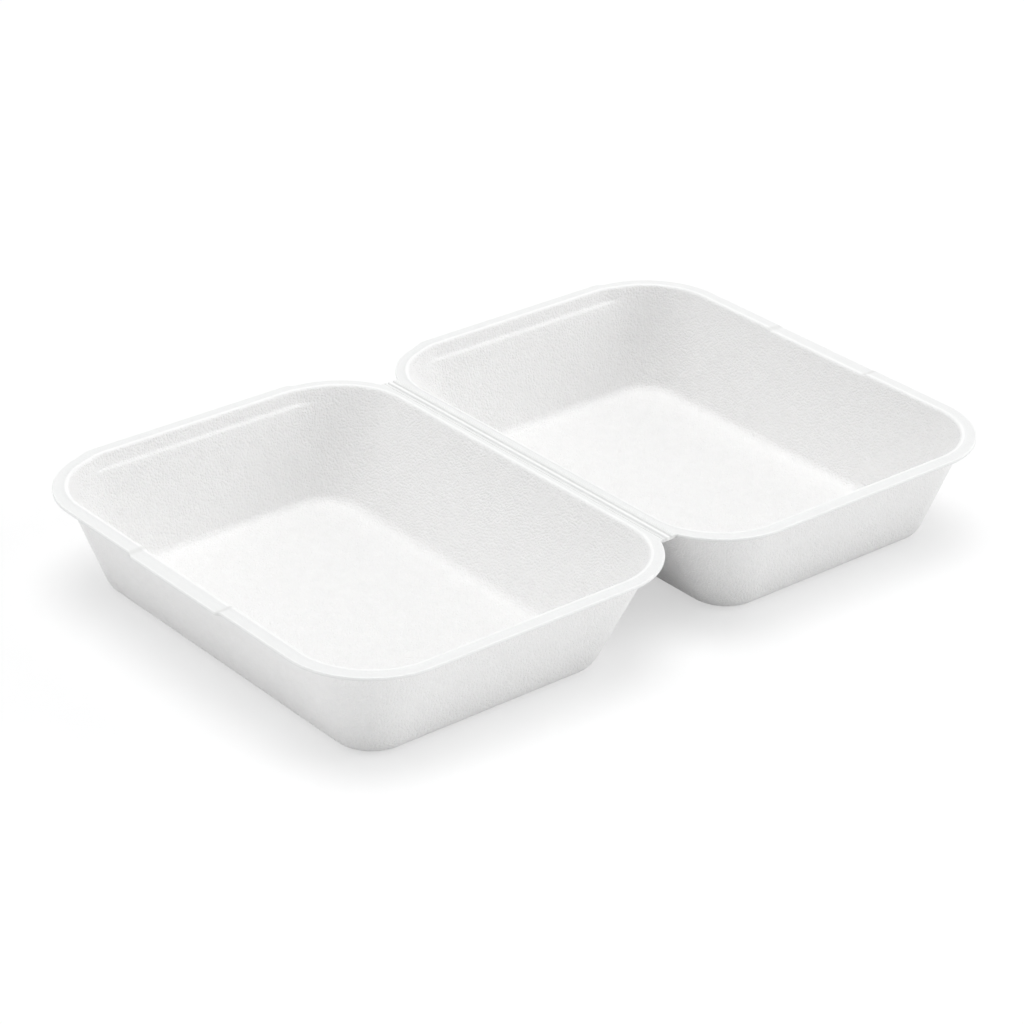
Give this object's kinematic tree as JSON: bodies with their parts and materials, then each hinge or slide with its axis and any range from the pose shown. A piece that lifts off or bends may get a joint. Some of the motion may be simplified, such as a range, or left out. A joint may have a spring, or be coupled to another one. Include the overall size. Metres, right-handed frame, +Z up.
{
  "type": "foam clamshell food container",
  "caption": "Hinged foam food container lying open: a base tray and an equal lid tray with leaning walls, flat rims and finger notches, joined along a ribbed fold.",
  "frame": {"origin": "on the table, midway along the hinge and midway between the two open trays", "axes": "+X from the base tray towards the lid tray, +Y along the hinge towards the stepped ends, +Z up"},
  "size_m": [0.3584, 0.2318, 0.048],
  "materials": {
    "foam": "matt, fine-grained foam"
  },
  "bodies": {
    "base": {"base_tray": "foam"},
    "lid": {"lid_tray": "foam"}
  },
  "joints": [
    {"name": "lid_hinge", "type": "hinge", "parent": "base", "child": "lid", "pos_m": [0, 0, 0.04815], "axis": [0, -1, 0], "range_deg": [0, 180]}
  ]
}
